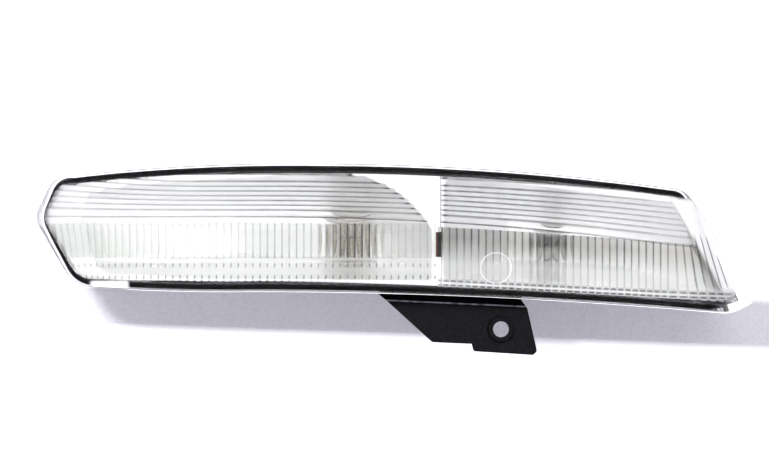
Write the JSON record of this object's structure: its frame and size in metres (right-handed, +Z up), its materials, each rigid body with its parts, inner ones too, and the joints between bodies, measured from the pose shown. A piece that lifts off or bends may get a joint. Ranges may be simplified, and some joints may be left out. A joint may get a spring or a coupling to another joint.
{
  "type": "front bumper turn signal and position lamp",
  "caption": "Long clear two-compartment bumper lamp with a fluted wrap-round lens, black sealed housing, rear bulb holders and a bent fixing bracket.",
  "frame": {"origin": "centre of the bracket's fixing hole, on the seat in its dish", "axes": "+X to the outboard end, +Y from the lens face back into the car, +Z up"},
  "size_m": [0.3595, 0.0844, 0.096],
  "materials": {
    "lens": "clear moulded acrylic",
    "sealant": "soft butyl bead",
    "housing": "moulded black",
    "reflector": "bright metallised plastic",
    "bracket": "fine textured black powder coat",
    "holder": "moulded",
    "holder_seal": "soft",
    "contact": "bright",
    "bulb_cap": "nickelled",
    "amber_glass": "pale amber",
    "clear_glass": "clear",
    "tungsten": "wire",
    "screw": "zinc plated",
    "rubber_cap": "soft"
  },
  "bodies": {
    "root": {"lens": "lens", "lens_seal": "sealant", "housing": "housing", "reflector_turn": "reflector", "reflector_position": "reflector", "mounting_bracket": "bracket", "turn_holder": "holder", "turn_holder_seal": "holder_seal", "turn_terminals": "contact", "turn_bulb_cap": "bulb_cap", "turn_bulb_glass": "amber_glass", "turn_bulb_filament": "tungsten", "position_holder": "holder", "position_holder_seal": "holder_seal", "position_terminals": "contact", "position_bulb_glass": "clear_glass", "position_bulb_filament": "tungsten", "reflector_screws": "screw", "bracket_screws": "screw", "fixing_stud": "screw", "vent_caps": "rubber_cap"}
  },
  "joints": []
}
